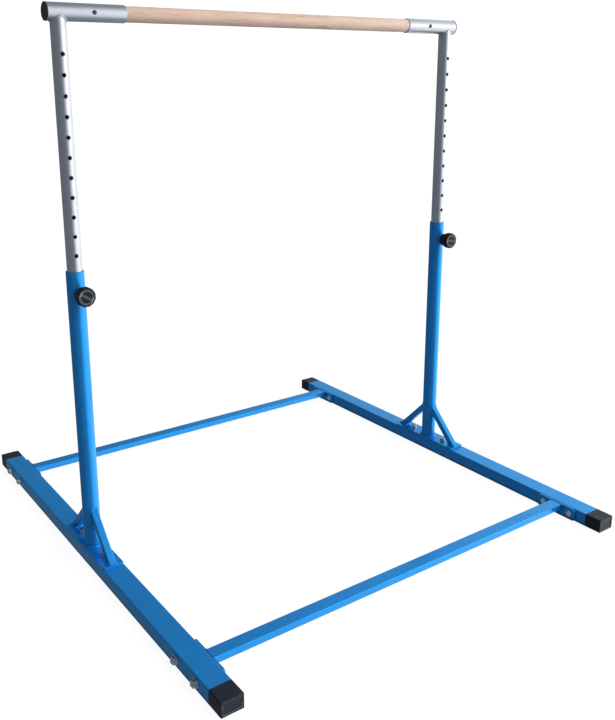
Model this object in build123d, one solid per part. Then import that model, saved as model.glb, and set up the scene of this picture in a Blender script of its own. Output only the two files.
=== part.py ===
from build123d import *
import os

# Height-adjustable gymnastics horizontal bar.
# Frame: +X runs to the right along the bar, +Y to the back, +Z up. The origin is on the floor,
# midway between the posts. Lengths are in millimetres.

# Overall layout
POST_X = 656.0  # each post stands this far from the middle
BAR_AXIS_Z = 1478.0  # centre of the bar at its highest setting
HOLE_PITCH = 50.0
HOLE_COUNT = 13
PIN_Z = 779.0  # the spring pins' height on the lower posts

# Legs
LEG_WIDTH = 60.0
LEG_HEIGHT = 40.0
LEG_WALL = 2.0
LEG_CORNER = 3.0
LEG_TUBE_LENGTH = 1400.0
CAP_LENGTH = 52.0
CAP_EDGE = 2.0
CAP_SEAM = 0.6  # chamfer beside the tube, which leaves a fine groove
CAP_WALL = 4.0
CAP_SPIGOT = 40.0
CAP_CLEARANCE = 0.2
CAP_RECESS = 1.2
CAP_RECESS_BORDER = 6.0

# Cross rails and their end plates
RAIL_Y = 597.0
RAIL_DEPTH = 38.0
RAIL_HEIGHT = 20.0
RAIL_TOP = 39.0
RAIL_WALL = 1.5
RAIL_CORNER = 3.0
PLATE_THICKNESS = 5.0
RAIL_PLATE_WIDTH = 139.0
RAIL_PLATE_FOOT = 1.0  # gap between the floor and the plate's lower edge
RAIL_PLATE_CORNER = 9.0
RAIL_PLATE_EDGE = 0.6
RAIL_BOLT_OFFSET = 47.0

# M10 fasteners
BOLT_SHANK = 10.0
BOLT_HOLE = 11.0
DOME_HEAD = 20.0
DOME_HEIGHT = 5.0
DOME_RIM = 0.8
NECK_SIZE = 10.0
NECK_LENGTH = 4.5
NECK_HOLE = 10.4
NUT_BORE = 10.2
HEX_FLATS = 17.0
HEAD_HEIGHT = 6.4
NUT_HEIGHT = 8.0
HEX_CHAMFER = 1.1
RAIL_WASHER = 24.0
POST_WASHER = 20.0
WASHER_THICKNESS = 2.0
WASHER_EDGE = 0.4
LOCK_WASHER = 18.0
LOCK_WASHER_THICKNESS = 2.6
LOCK_WASHER_SPLIT = 1.2
BOLT_TAIL = 3.0  # thread showing past a nut

# Posts
LOWER_POST_OUTER = 48.0
LOWER_POST_INNER = 44.0
LOWER_POST_TOP = 836.0
LOWER_POST_RIM = 0.8
INNER_POST_OUTER = 40.0
INNER_POST_INNER = 36.0
INNER_POST_TAIL = 90.0  # tube below the lowest hole
HOLE_DIAMETER = 10.5
PIN_PASSAGE = 12.0  # hole in the lower post for the pin
BUSH_OUTER = 43.8
BUSH_INNER = 40.6
BUSH_LENGTH = 38.0
BUSH_RECESS = 1.0

# Post feet
FOOT_PLATE_LENGTH = 284.0
FOOT_PLATE_CORNER = 7.0
FOOT_PLATE_EDGE = 1.5
POST_BOLT_Y = 74.0
BRACE_SIZE = 20.0
BRACE_WALL = 1.5
BRACE_CORNER = 2.5
BRACE_TOE_Y = 139.0  # outer foot of a brace, measured from the post's axis

# Spring pull pins, measured along -Y from the post's axis
BOSS_OUTER = 30.0
BOSS_END = 32.0
BARREL_THREAD = 16.0
BARREL_START = 25.0
BARREL_FLANGE = 24.0
BARREL_FLANGE_THICKNESS = 3.0
BARREL_BODY = 18.0
BARREL_END = 58.0
BARREL_NOSE_BORE = 10.0
CHAMBER_BORE = 13.0
CHAMBER_END = 54.0
BARREL_REAR_BORE = 8.4
PIN_NOSE = 9.6
PIN_TIP = 13.0
PIN_COLLAR = 12.4
PIN_COLLAR_START = 32.3
PIN_COLLAR_END = 35.3
PIN_STEM = 8.0
PIN_HEAD = 12.0
PIN_HEAD_START = 63.0
PIN_HEAD_END = 66.0
PIN_RUNNING_FIT = 0.08
SPRING_WIRE = 1.2
SPRING_MEAN = 10.6
SPRING_TURNS = 6
KNOB_HEAD = 52.0
KNOB_NECK = 40.0
KNOB_BORE = 25.5
KNOB_START = 33.5
KNOB_SHOULDER = 53.0
KNOB_BORE_END = 60.5
KNOB_END = 72.0
KNOB_FRONT_EDGE = 4.0
KNOB_BACK_EDGE = 2.0
KNOB_FLUTES = 12
KNOB_FLUTE_RADIUS = 6.0
KNOB_FLUTE_DEPTH = 0.9
NECK_FLUTES = 14
NECK_FLUTE_RADIUS = 3.0
NECK_FLUTE_DEPTH = 1.0
KNOB_DISH = 31.0
KNOB_DISH_DEPTH = 1.6
KNOB_BAR_WIDTH = 6.4
KNOB_BAR_ANGLES = {-1: -32.0, 1: -10.0}  # as the two knobs happen to be turned

# Bar, sleeves and end plugs
BAR_DIAMETER = 40.0
BAR_LENGTH = 1300.0
SLEEVE_OUTER = 44.5
SLEEVE_INNER = 40.5
SLEEVE_EDGE = 0.6
SLEEVE_START = 482.0
SLEEVE_END = 686.0
PLUG_FLANGE = 45.5
PLUG_FLANGE_THICKNESS = 3.0
PLUG_SPIGOT = 40.3
PLUG_SPIGOT_LENGTH = 22.0
PLUG_WALL = 3.0
SCREW_X = 569.0
SCREW_SHANK = 6.0
SCREW_HOLE = 6.4
SCREW_LENGTH = 28.0
SCREW_HEAD = 11.0
SCREW_HEAD_HEIGHT = 3.3
SCREW_SOCKET = 4.0
SCREW_SOCKET_DEPTH = 2.0

# Heights and places that follow from the sizes above
FOOT_PLATE_TOP = LEG_HEIGHT + PLATE_THICKNESS
LEG_INNER_X = POST_X - LEG_WIDTH / 2
RAIL_END_X = LEG_INNER_X - PLATE_THICKNESS
TOP_HOLE_Z = PIN_Z + HOLE_PITCH * (HOLE_COUNT - 1)
BOLT_Z = LEG_HEIGHT / 2
SIDES = {"left": -1, "right": 1}
ENDS = {"front": -1, "rear": 1}


def round_bar(diameter, start, end):
    """A solid round bar between two points."""
    start = Vector(*start)
    along = Vector(*end) - start
    base = (Align.CENTER, Align.CENTER, Align.MIN)
    return Plane(origin=start, z_dir=along) * Cylinder(diameter / 2, along.length, align=base)


def round_tube(outer, inner, start, end):
    """A round tube between two points."""
    return round_bar(outer, start, end) - round_bar(inner, start, end)


def box_bar(plane, width, height, corner, length):
    """A rectangular bar with rounded corners, starting on a plane."""
    return extrude(plane * RectangleRounded(width, height, corner), length)


def box_tube(plane, width, height, wall, corner, length):
    """A rectangular tube with rounded corners, starting on a plane."""
    inner_corner = corner - wall
    hollow = box_bar(plane, width - 2 * wall, height - 2 * wall, inner_corner, length)
    return box_bar(plane, width, height, corner, length) - hollow


def hexagon(plane, height):
    """A hexagonal head or nut with its outer corners chamfered, standing on a plane."""
    prism = extrude(plane * RegularPolygon(HEX_FLATS / 2, 6, major_radius=False), height)
    across_corners = HEX_FLATS * 2 / 3**0.5
    blank = extrude(plane * Circle(across_corners / 2), height)
    crown = blank.faces().sort_by(Axis(plane.origin, plane.z_dir))[-1]
    return prism & chamfer(crown.edges(), HEX_CHAMFER)


def hex_bolt(plane, length):
    """A hex bolt whose head stands on the plane and whose shank goes the other way."""
    shank = extrude(plane * Circle(BOLT_SHANK / 2), -length)
    return hexagon(plane, HEAD_HEIGHT) + shank


def dome_bolt(plane, length):
    """A carriage bolt: its domed head stands on the plane, its square neck and shank go the other way."""
    crown = DOME_HEIGHT - DOME_RIM
    ball_radius = (DOME_HEAD**2 / 4 + crown**2) / (2 * crown)
    ball = plane.offset(DOME_HEIGHT - ball_radius) * Sphere(ball_radius)
    head = ball & extrude(plane * Circle(DOME_HEAD / 2), DOME_HEIGHT)
    neck = extrude(plane * Rectangle(NECK_SIZE, NECK_SIZE), -NECK_LENGTH)
    return head + neck + extrude(plane * Circle(BOLT_SHANK / 2), -length)


def washer(plane, outer):
    """A flat washer lying on a plane, with its upper rim rounded."""
    disc = extrude(plane * Circle(outer / 2), WASHER_THICKNESS)
    upper = disc.faces().sort_by(Axis(plane.origin, plane.z_dir))[-1]
    disc = fillet(upper.edges(), WASHER_EDGE)
    return disc - extrude(plane * Circle(BOLT_HOLE / 2), WASHER_THICKNESS)


def lock_washer(plane):
    """A split spring washer, pressed flat."""
    ring = Circle(LOCK_WASHER / 2) - Circle(BOLT_HOLE / 2)
    split = Pos(LOCK_WASHER / 2, 0) * Rot(0, 0, 25) * Rectangle(LOCK_WASHER, LOCK_WASHER_SPLIT)
    return extrude(plane * (ring - split), LOCK_WASHER_THICKNESS)


def hex_nut(plane):
    """A hex nut lying on a plane."""
    return hexagon(plane, NUT_HEIGHT) - extrude(plane * Circle(NUT_BORE / 2), NUT_HEIGHT)


def rail_bolt_places(end):
    """The two bolt positions along Y of one rail end."""
    return [end * RAIL_Y - RAIL_BOLT_OFFSET, end * RAIL_Y + RAIL_BOLT_OFFSET]


def leg(side):
    """One base leg: a rectangular tube lying front to back, drilled for its bolts."""
    x = side * POST_X
    plane = Plane(origin=(x, -LEG_TUBE_LENGTH / 2, LEG_HEIGHT / 2), x_dir=(1, 0, 0), z_dir=(0, 1, 0))
    tube = box_tube(plane, LEG_WIDTH, LEG_HEIGHT, LEG_WALL, LEG_CORNER, LEG_TUBE_LENGTH)
    for end in ENDS.values():
        for y in rail_bolt_places(end):
            tube -= round_bar(BOLT_HOLE, (x - LEG_WIDTH, y, BOLT_Z), (x + LEG_WIDTH, y, BOLT_Z))
        y = end * POST_BOLT_Y
        tube -= round_bar(BOLT_HOLE, (x, y, LEG_HEIGHT / 2), (x, y, LEG_HEIGHT * 2))
    return tube


def leg_cap(side, end):
    """A hollow plastic cap that closes a leg: a block flush with the tube, and a spigot in it."""
    x = side * POST_X
    y = end * LEG_TUBE_LENGTH / 2
    outward = Plane(origin=(x, y, LEG_HEIGHT / 2), x_dir=(1, 0, 0), z_dir=(0, end, 0))
    block = box_bar(outward, LEG_WIDTH, LEG_HEIGHT, LEG_CORNER, CAP_LENGTH)
    face = block.faces().sort_by(Axis.Y)[-1 if end > 0 else 0]
    block = fillet(face.edges(), CAP_EDGE)
    seam = block.faces().sort_by(Axis.Y)[0 if end > 0 else -1]
    block = chamfer(seam.edges(), CAP_SEAM)
    gap = 2 * (LEG_WALL + CAP_CLEARANCE)
    spigot_size = (LEG_WIDTH - gap, LEG_HEIGHT - gap)
    block += box_bar(outward, *spigot_size, LEG_CORNER - LEG_WALL, -CAP_SPIGOT)
    hollow_size = (spigot_size[0] - 2 * CAP_WALL, spigot_size[1] - 2 * CAP_WALL)
    hollow_start = outward.offset(-CAP_SPIGOT)
    block -= box_bar(hollow_start, *hollow_size, 1.0, CAP_SPIGOT + CAP_LENGTH - CAP_WALL)
    dish_size = (LEG_WIDTH - 2 * CAP_RECESS_BORDER, LEG_HEIGHT - 2 * CAP_RECESS_BORDER)
    block -= box_bar(outward.offset(CAP_LENGTH - CAP_RECESS), *dish_size, LEG_CORNER, CAP_RECESS)
    return block


def rail(end):
    """One cross rail between the end plates, its top level with theirs."""
    start = (-RAIL_END_X, end * RAIL_Y, RAIL_TOP - RAIL_HEIGHT / 2)
    plane = Plane(origin=start, x_dir=(0, 1, 0), z_dir=(1, 0, 0))
    return box_tube(plane, RAIL_DEPTH, RAIL_HEIGHT, RAIL_WALL, RAIL_CORNER, 2 * RAIL_END_X)


def rail_plate(side, end):
    """The plate on a rail's end that is bolted to the leg's inner side."""
    height = RAIL_TOP - RAIL_PLATE_FOOT
    centre_z = RAIL_PLATE_FOOT + height / 2
    plane = Plane(origin=(side * RAIL_END_X, end * RAIL_Y, centre_z), x_dir=(0, 1, 0), z_dir=(side, 0, 0))
    plate = box_bar(plane, RAIL_PLATE_WIDTH, height, RAIL_PLATE_CORNER, PLATE_THICKNESS)
    inner = plate.faces().sort_by(Axis.X)[0 if side > 0 else -1]
    plate = fillet(inner.edges(), RAIL_PLATE_EDGE)
    for y in rail_bolt_places(end):
        hole = Plane(origin=(side * RAIL_END_X, y, BOLT_Z), x_dir=(0, 1, 0), z_dir=(side, 0, 0))
        plate -= extrude(hole * Rectangle(NECK_HOLE, NECK_HOLE), PLATE_THICKNESS)
    return plate


def rail_fasteners(side):
    """The bolts, washers and nuts that hold both rails to one leg, with the nuts on its outer side."""
    bolts, washers, nuts = [], [], []
    outer_x = side * (POST_X + LEG_WIDTH / 2)
    inner_x = side * RAIL_END_X
    grip = PLATE_THICKNESS + LEG_WIDTH + WASHER_THICKNESS + NUT_HEIGHT
    for end in ENDS.values():
        for y in rail_bolt_places(end):
            outer = Plane(origin=(outer_x, y, BOLT_Z), x_dir=(0, 1, 0), z_dir=(side, 0, 0))
            inner = Plane(origin=(inner_x, y, BOLT_Z), x_dir=(0, 1, 0), z_dir=(-side, 0, 0))
            bolts.append(dome_bolt(inner, grip + BOLT_TAIL))
            washers.append(washer(outer, RAIL_WASHER))
            nuts.append(hex_nut(outer.offset(WASHER_THICKNESS)))
    return bolts, washers, nuts


def lower_post(side):
    """The fixed outer tube of a post, with the passage for its spring pin."""
    x = side * POST_X
    blank = round_bar(LOWER_POST_OUTER, (x, 0, FOOT_PLATE_TOP), (x, 0, LOWER_POST_TOP))
    mouth = blank.faces().sort_by(Axis.Z)[-1]
    tube = fillet(mouth.edges(), LOWER_POST_RIM)
    tube -= round_bar(LOWER_POST_INNER, (x, 0, 0), (x, 0, 2 * LOWER_POST_TOP))
    return tube - round_bar(PIN_PASSAGE, (x, 0, PIN_Z), (x, -LOWER_POST_OUTER, PIN_Z))


def foot_plate(side):
    """The plate under a post, lying on the leg."""
    plane = Plane.XY.offset(LEG_HEIGHT).shift_origin((side * POST_X, 0, LEG_HEIGHT))
    plate = box_bar(plane, LEG_WIDTH, FOOT_PLATE_LENGTH, FOOT_PLATE_CORNER, PLATE_THICKNESS)
    upper = plate.faces().sort_by(Axis.Z)[-1]
    plate = fillet(upper.edges(), FOOT_PLATE_EDGE)
    for end in ENDS.values():
        foot = (side * POST_X, end * POST_BOLT_Y)
        plate -= round_bar(BOLT_HOLE, (*foot, 0), (*foot, 2 * LEG_HEIGHT))
    return plate


def brace(side, end):
    """A square tube rising at 45 degrees from the foot plate's end to the post."""
    x = side * POST_X
    line = FOOT_PLATE_TOP + BRACE_TOE_Y - BRACE_SIZE / 2**0.5  # height plus |y| along the centre line
    plane = Plane(origin=(x, end * line, 0), x_dir=(1, 0, 0), z_dir=(0, -end, 1))
    tube = box_tube(plane, BRACE_SIZE, BRACE_SIZE, BRACE_WALL, BRACE_CORNER, line * 2**0.5)
    tube -= round_bar(LOWER_POST_OUTER, (x, 0, 0), (x, 0, 2 * line))
    below = Box(LEG_WIDTH, 2 * line, 2 * FOOT_PLATE_TOP)
    return tube - Pos(x, end * line, 0) * below


def post_fasteners(side):
    """The bolts, flat washers, weld nuts and spring washers that hold one post to its leg."""
    bolts, washers, nuts, lock_washers = [], [], [], []
    stack = WASHER_THICKNESS + LOCK_WASHER_THICKNESS
    grip = stack + PLATE_THICKNESS + LEG_WALL + NUT_HEIGHT
    for end in ENDS.values():
        place = (side * POST_X, end * POST_BOLT_Y)
        top = Plane(origin=(*place, FOOT_PLATE_TOP), x_dir=(1, 0, 0), z_dir=(0, 0, 1))
        under = Plane(origin=(*place, LEG_HEIGHT - LEG_WALL), x_dir=(1, 0, 0), z_dir=(0, 0, -1))
        washers.append(washer(top, POST_WASHER))
        lock_washers.append(lock_washer(top.offset(WASHER_THICKNESS)))
        bolts.append(hex_bolt(top.offset(stack), grip + BOLT_TAIL))
        nuts.append(hex_nut(under))
    return bolts, washers, nuts, lock_washers


def along_pin(side, distance):
    """A point on a pin's axis, at a distance in front of the post's axis."""
    return (side * POST_X, -distance, PIN_Z)


def pin_bar(side, diameter, start, end):
    """A round bar on a pin's axis."""
    return round_bar(diameter, along_pin(side, start), along_pin(side, end))


def boss(side):
    """The threaded boss welded on the lower post."""
    x = side * POST_X
    body = pin_bar(side, BOSS_OUTER, 0, BOSS_END) - pin_bar(side, BARREL_THREAD, 0, BOSS_END)
    return body - round_bar(LOWER_POST_OUTER, (x, 0, PIN_Z - BOSS_OUTER), (x, 0, PIN_Z + BOSS_OUTER))


def barrel(side):
    """The plunger's barrel, screwed into the boss, with the spring's chamber inside."""
    body = pin_bar(side, BARREL_THREAD, BARREL_START, BOSS_END)
    body += pin_bar(side, BARREL_FLANGE, BOSS_END, BOSS_END + BARREL_FLANGE_THICKNESS)
    body += pin_bar(side, BARREL_BODY, BOSS_END, BARREL_END)
    body -= pin_bar(side, BARREL_NOSE_BORE, 0, BOSS_END)
    body -= pin_bar(side, CHAMBER_BORE, BOSS_END, CHAMBER_END)
    return body - pin_bar(side, BARREL_REAR_BORE, CHAMBER_END, BARREL_END)


def plunger_pin(side):
    """The pin: a nose that locks the inner post, a collar for the spring, a stem and a head."""
    nose = pin_bar(side, PIN_NOSE, PIN_TIP, PIN_COLLAR_START)
    tip = nose.faces().sort_by(Axis.Y)[-1]
    pin = chamfer(tip.edges(), 1.2)
    pin += pin_bar(side, PIN_COLLAR, PIN_COLLAR_START, PIN_COLLAR_END)
    pin += pin_bar(side, PIN_STEM, PIN_COLLAR_END, PIN_HEAD_START)
    return pin + pin_bar(side, PIN_HEAD, PIN_HEAD_START, PIN_HEAD_END)


def spring(side):
    """The compression spring between the pin's collar and the barrel's rear wall."""
    gap = 0.1
    height = CHAMBER_END - PIN_COLLAR_END - SPRING_WIRE - 2 * gap
    path = Helix(pitch=height / SPRING_TURNS, height=height, radius=SPRING_MEAN / 2)
    start = Plane(origin=path @ 0, z_dir=path % 0)
    coil = sweep(start * Circle(SPRING_WIRE / 2), path=path, is_frenet=True)
    origin = along_pin(side, PIN_COLLAR_END + SPRING_WIRE / 2 + gap)
    return Plane(origin=origin, z_dir=(0, -1, 0)) * coil


def knob(side):
    """The pull knob: a fluted head with a dished face and a bar across it, on a fluted neck."""
    head = pin_bar(side, KNOB_HEAD, KNOB_SHOULDER, KNOB_END)
    back = head.edges().filter_by(GeomType.CIRCLE).sort_by(Axis.Y)[-1]
    head = fillet(back, KNOB_BACK_EDGE)
    front = head.edges().filter_by(GeomType.CIRCLE).sort_by(Axis.Y)[0]
    head = fillet(front, KNOB_FRONT_EDGE)
    ring = Plane(origin=along_pin(side, KNOB_SHOULDER), x_dir=(1, 0, 0), z_dir=(0, -1, 0))
    flute_reach = KNOB_HEAD / 2 + KNOB_FLUTE_RADIUS - KNOB_FLUTE_DEPTH
    flutes = Sketch() + PolarLocations(flute_reach, KNOB_FLUTES) * Circle(KNOB_FLUTE_RADIUS)
    head -= extrude(ring * flutes, KNOB_END - KNOB_SHOULDER)
    dish = ring.offset(KNOB_END - KNOB_SHOULDER - KNOB_DISH_DEPTH)
    cross_bar = Rot(0, 0, KNOB_BAR_ANGLES[side]) * Rectangle(KNOB_DISH, KNOB_BAR_WIDTH)
    head -= extrude(dish * (Circle(KNOB_DISH / 2) - cross_bar), KNOB_DISH_DEPTH)
    neck = pin_bar(side, KNOB_NECK, KNOB_START, KNOB_SHOULDER + KNOB_BACK_EDGE)
    neck_ring = Plane(origin=along_pin(side, KNOB_START), x_dir=(1, 0, 0), z_dir=(0, -1, 0))
    neck_reach = KNOB_NECK / 2 + NECK_FLUTE_RADIUS - NECK_FLUTE_DEPTH
    neck_flutes = Sketch() + PolarLocations(neck_reach, NECK_FLUTES) * Circle(NECK_FLUTE_RADIUS)
    neck -= extrude(neck_ring * neck_flutes, KNOB_SHOULDER - KNOB_START)
    body = head + neck
    body -= pin_bar(side, KNOB_BORE, KNOB_START, KNOB_BORE_END)
    body -= pin_bar(side, PIN_STEM + 2 * PIN_RUNNING_FIT, KNOB_START, PIN_HEAD_START)
    head_room = PIN_HEAD + 2 * PIN_RUNNING_FIT
    return body - pin_bar(side, head_room, PIN_HEAD_START - PIN_RUNNING_FIT, PIN_HEAD_END + PIN_RUNNING_FIT)


def guide_bush(side):
    """The plastic bush pressed into the mouth of a lower post."""
    x = side * POST_X
    top = LOWER_POST_TOP - BUSH_RECESS
    return round_tube(BUSH_OUTER, BUSH_INNER, (x, 0, top - BUSH_LENGTH), (x, 0, top))


def inner_post(side):
    """The sliding tube, drilled at an even pitch and cut to fit under the sleeve."""
    x = side * POST_X
    foot = (x, 0, PIN_Z - INNER_POST_TAIL)
    tube = round_tube(INNER_POST_OUTER, INNER_POST_INNER, foot, (x, 0, BAR_AXIS_Z))
    for step in range(HOLE_COUNT):
        z = TOP_HOLE_Z - step * HOLE_PITCH
        tube -= round_bar(HOLE_DIAMETER, (x, 0, z), (x, -INNER_POST_OUTER, z))
    saddle = (x - LEG_WIDTH, 0, BAR_AXIS_Z), (x + LEG_WIDTH, 0, BAR_AXIS_Z)
    return tube - round_bar(SLEEVE_OUTER, *saddle)


def sleeve(side):
    """The horizontal tube on top of an inner post that holds one end of the bar."""
    ends = (side * SLEEVE_START, 0, BAR_AXIS_Z), (side * SLEEVE_END, 0, BAR_AXIS_Z)
    blank = round_bar(SLEEVE_OUTER, *ends)
    tube = fillet(blank.edges().filter_by(GeomType.CIRCLE), SLEEVE_EDGE) - round_bar(SLEEVE_INNER, *ends)
    x = side * SCREW_X
    return tube - round_bar(SCREW_HOLE, (x, 0, BAR_AXIS_Z), (x, -SLEEVE_OUTER, BAR_AXIS_Z))


def end_plug(side):
    """The plastic plug in a sleeve's outer end."""
    face = (side * SLEEVE_END, 0, BAR_AXIS_Z)
    outside = (side * (SLEEVE_END + PLUG_FLANGE_THICKNESS), 0, BAR_AXIS_Z)
    inside = (side * (SLEEVE_END - PLUG_SPIGOT_LENGTH), 0, BAR_AXIS_Z)
    flange = round_bar(PLUG_FLANGE, face, outside)
    rim = flange.faces().sort_by(Axis.X)[-1 if side > 0 else 0]
    plug = fillet(rim.edges(), PLUG_FLANGE_THICKNESS / 2)
    plug += round_bar(PLUG_SPIGOT, inside, face)
    return plug - round_bar(PLUG_SPIGOT - 2 * PLUG_WALL, inside, face)


def wooden_bar():
    """The round bar, drilled for the two screws."""
    bar = round_bar(BAR_DIAMETER, (-BAR_LENGTH / 2, 0, BAR_AXIS_Z), (BAR_LENGTH / 2, 0, BAR_AXIS_Z))
    ends = bar.faces().filter_by(GeomType.PLANE)
    bar = chamfer(ends.edges(), 1.5)
    for side in SIDES.values():
        x = side * SCREW_X
        tip_y = SCREW_LENGTH - SLEEVE_OUTER / 2 + 1.0
        bar -= round_bar(SCREW_HOLE, (x, tip_y, BAR_AXIS_Z), (x, -BAR_DIAMETER, BAR_AXIS_Z))
    return bar


def bar_screw(side):
    """The button-head screw through a sleeve's front into the bar."""
    head_y = -SLEEVE_OUTER / 2
    plane = Plane(origin=(side * SCREW_X, head_y, BAR_AXIS_Z), x_dir=(1, 0, 0), z_dir=(0, -1, 0))
    head = extrude(plane * Circle(SCREW_HEAD / 2), SCREW_HEAD_HEIGHT)
    crown = head.faces().sort_by(Axis.Y)[0]
    head = fillet(crown.edges(), SCREW_HEAD_HEIGHT * 0.8)
    socket_plane = plane.offset(SCREW_HEAD_HEIGHT - SCREW_SOCKET_DEPTH)
    socket = RegularPolygon(SCREW_SOCKET / 2, 6, major_radius=False)
    head -= extrude(socket_plane * socket, SCREW_SOCKET_DEPTH)
    return head + extrude(plane * Circle(SCREW_SHANK / 2), -SCREW_LENGTH)


def write(node, *solids):
    """Write one node's file, as one solid or as a group of separate ones."""
    shape = solids[0] if len(solids) == 1 else Compound(children=list(solids))
    export_step(shape, f"parts/{node}.step")


def write_fasteners(prefix, groups):
    """Write a set of fasteners, one file for each kind."""
    for kind, solids in zip(("bolts", "washers", "nuts", "lock_washers"), groups):
        write(f"{prefix}_{kind}", *solids)


def write_side(name, side):
    """Write every piece that stands on one side."""
    write(f"{name}_leg", leg(side))
    for end_name, end in ENDS.items():
        write(f"{name}_{end_name}_leg_cap", leg_cap(side, end))
        write(f"{name}_{end_name}_rail_plate", rail_plate(side, end))
        write(f"{name}_{end_name}_brace", brace(side, end))
    write_fasteners(f"{name}_rail", rail_fasteners(side))
    write_fasteners(f"{name}_post", post_fasteners(side))
    write(f"{name}_foot_plate", foot_plate(side))
    write(f"{name}_lower_post", lower_post(side))
    write(f"{name}_guide_bush", guide_bush(side))
    write(f"{name}_boss", boss(side))
    write(f"{name}_plunger_barrel", barrel(side))
    write(f"{name}_plunger_pin", plunger_pin(side))
    write(f"{name}_plunger_spring", spring(side))
    write(f"{name}_knob", knob(side))
    write(f"{name}_inner_post", inner_post(side))
    write(f"{name}_sleeve", sleeve(side))
    write(f"{name}_end_plug", end_plug(side))
    write(f"{name}_bar_screw", bar_screw(side))


os.makedirs("parts", exist_ok=True)
for side_name, side_sign in SIDES.items():
    write_side(side_name, side_sign)
for rail_name, rail_end in ENDS.items():
    write(f"{rail_name}_rail", rail(rail_end))
write("wooden_bar", wooden_bar())
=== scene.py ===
import math
from collections import namedtuple

import bmesh
import bpy
from mathutils import Matrix, Vector, noise


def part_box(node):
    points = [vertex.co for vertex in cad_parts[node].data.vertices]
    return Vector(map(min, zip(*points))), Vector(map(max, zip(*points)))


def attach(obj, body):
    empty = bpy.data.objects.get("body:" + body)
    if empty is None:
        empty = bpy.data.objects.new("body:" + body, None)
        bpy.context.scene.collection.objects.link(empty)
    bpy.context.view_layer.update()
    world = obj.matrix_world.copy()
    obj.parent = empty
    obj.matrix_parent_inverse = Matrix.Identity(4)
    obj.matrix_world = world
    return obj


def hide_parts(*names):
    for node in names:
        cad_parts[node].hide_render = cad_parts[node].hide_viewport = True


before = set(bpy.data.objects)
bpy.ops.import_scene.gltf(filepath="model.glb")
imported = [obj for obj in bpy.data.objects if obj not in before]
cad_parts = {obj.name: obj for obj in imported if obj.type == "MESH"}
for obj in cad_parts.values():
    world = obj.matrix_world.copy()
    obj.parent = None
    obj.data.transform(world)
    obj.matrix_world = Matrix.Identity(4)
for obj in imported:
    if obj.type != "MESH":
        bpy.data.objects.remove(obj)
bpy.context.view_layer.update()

# A height-adjustable gymnastics horizontal bar. Lengths are in metres, in the CAD's own frame:
# X runs along the bar, Y to the back, Z up, with the floor at z = 0.

MM = 0.001
SIDES = {"left": -1, "right": 1}
ENDS = {"front": -1, "rear": 1}


# ---------------------------------------------------------------- places, read from the frame


def low(node):
    """The lowest corner of a CAD node's box."""
    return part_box(node)[0]


def high(node):
    """The highest corner of a CAD node's box."""
    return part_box(node)[1]


def centre(node):
    return (low(node) + high(node)) / 2


def size(node):
    return high(node) - low(node)


POST_X = centre("right_lower_post").x
POST_RADIUS = size("right_lower_post").x / 2
POST_TOP = high("right_lower_post").z
INNER_RADIUS = size("right_inner_post").x / 2
SLEEVE_RADIUS = size("right_sleeve").y / 2
BAR_Z = centre("wooden_bar").z
PLATE_TOP = high("right_foot_plate").z
PIN_Z = centre("right_knob").z
BOSS_RADIUS = size("right_boss").x / 2
BRACE_WIDTH = size("right_front_brace").x
BRACE_TOE = -low("right_front_brace").y
KNOB_FRONT = -low("right_knob").y
KNOB_BACK = -high("right_knob").y
HOLE_PITCH = 50 * MM
HOLE_RADIUS = 5.25 * MM
HOLES_ABOVE_PIN = 12
TOP_HOLE_Z = PIN_Z + HOLES_ABOVE_PIN * HOLE_PITCH
RING_OUTER = 21 * MM  # the ring round each knob's face


# ---------------------------------------------------------------- materials

EDGE_SAMPLES = 4
EDGE_RAMP = 0.18  # how far the normals' dot product falls from a faint edge to a full one


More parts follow.
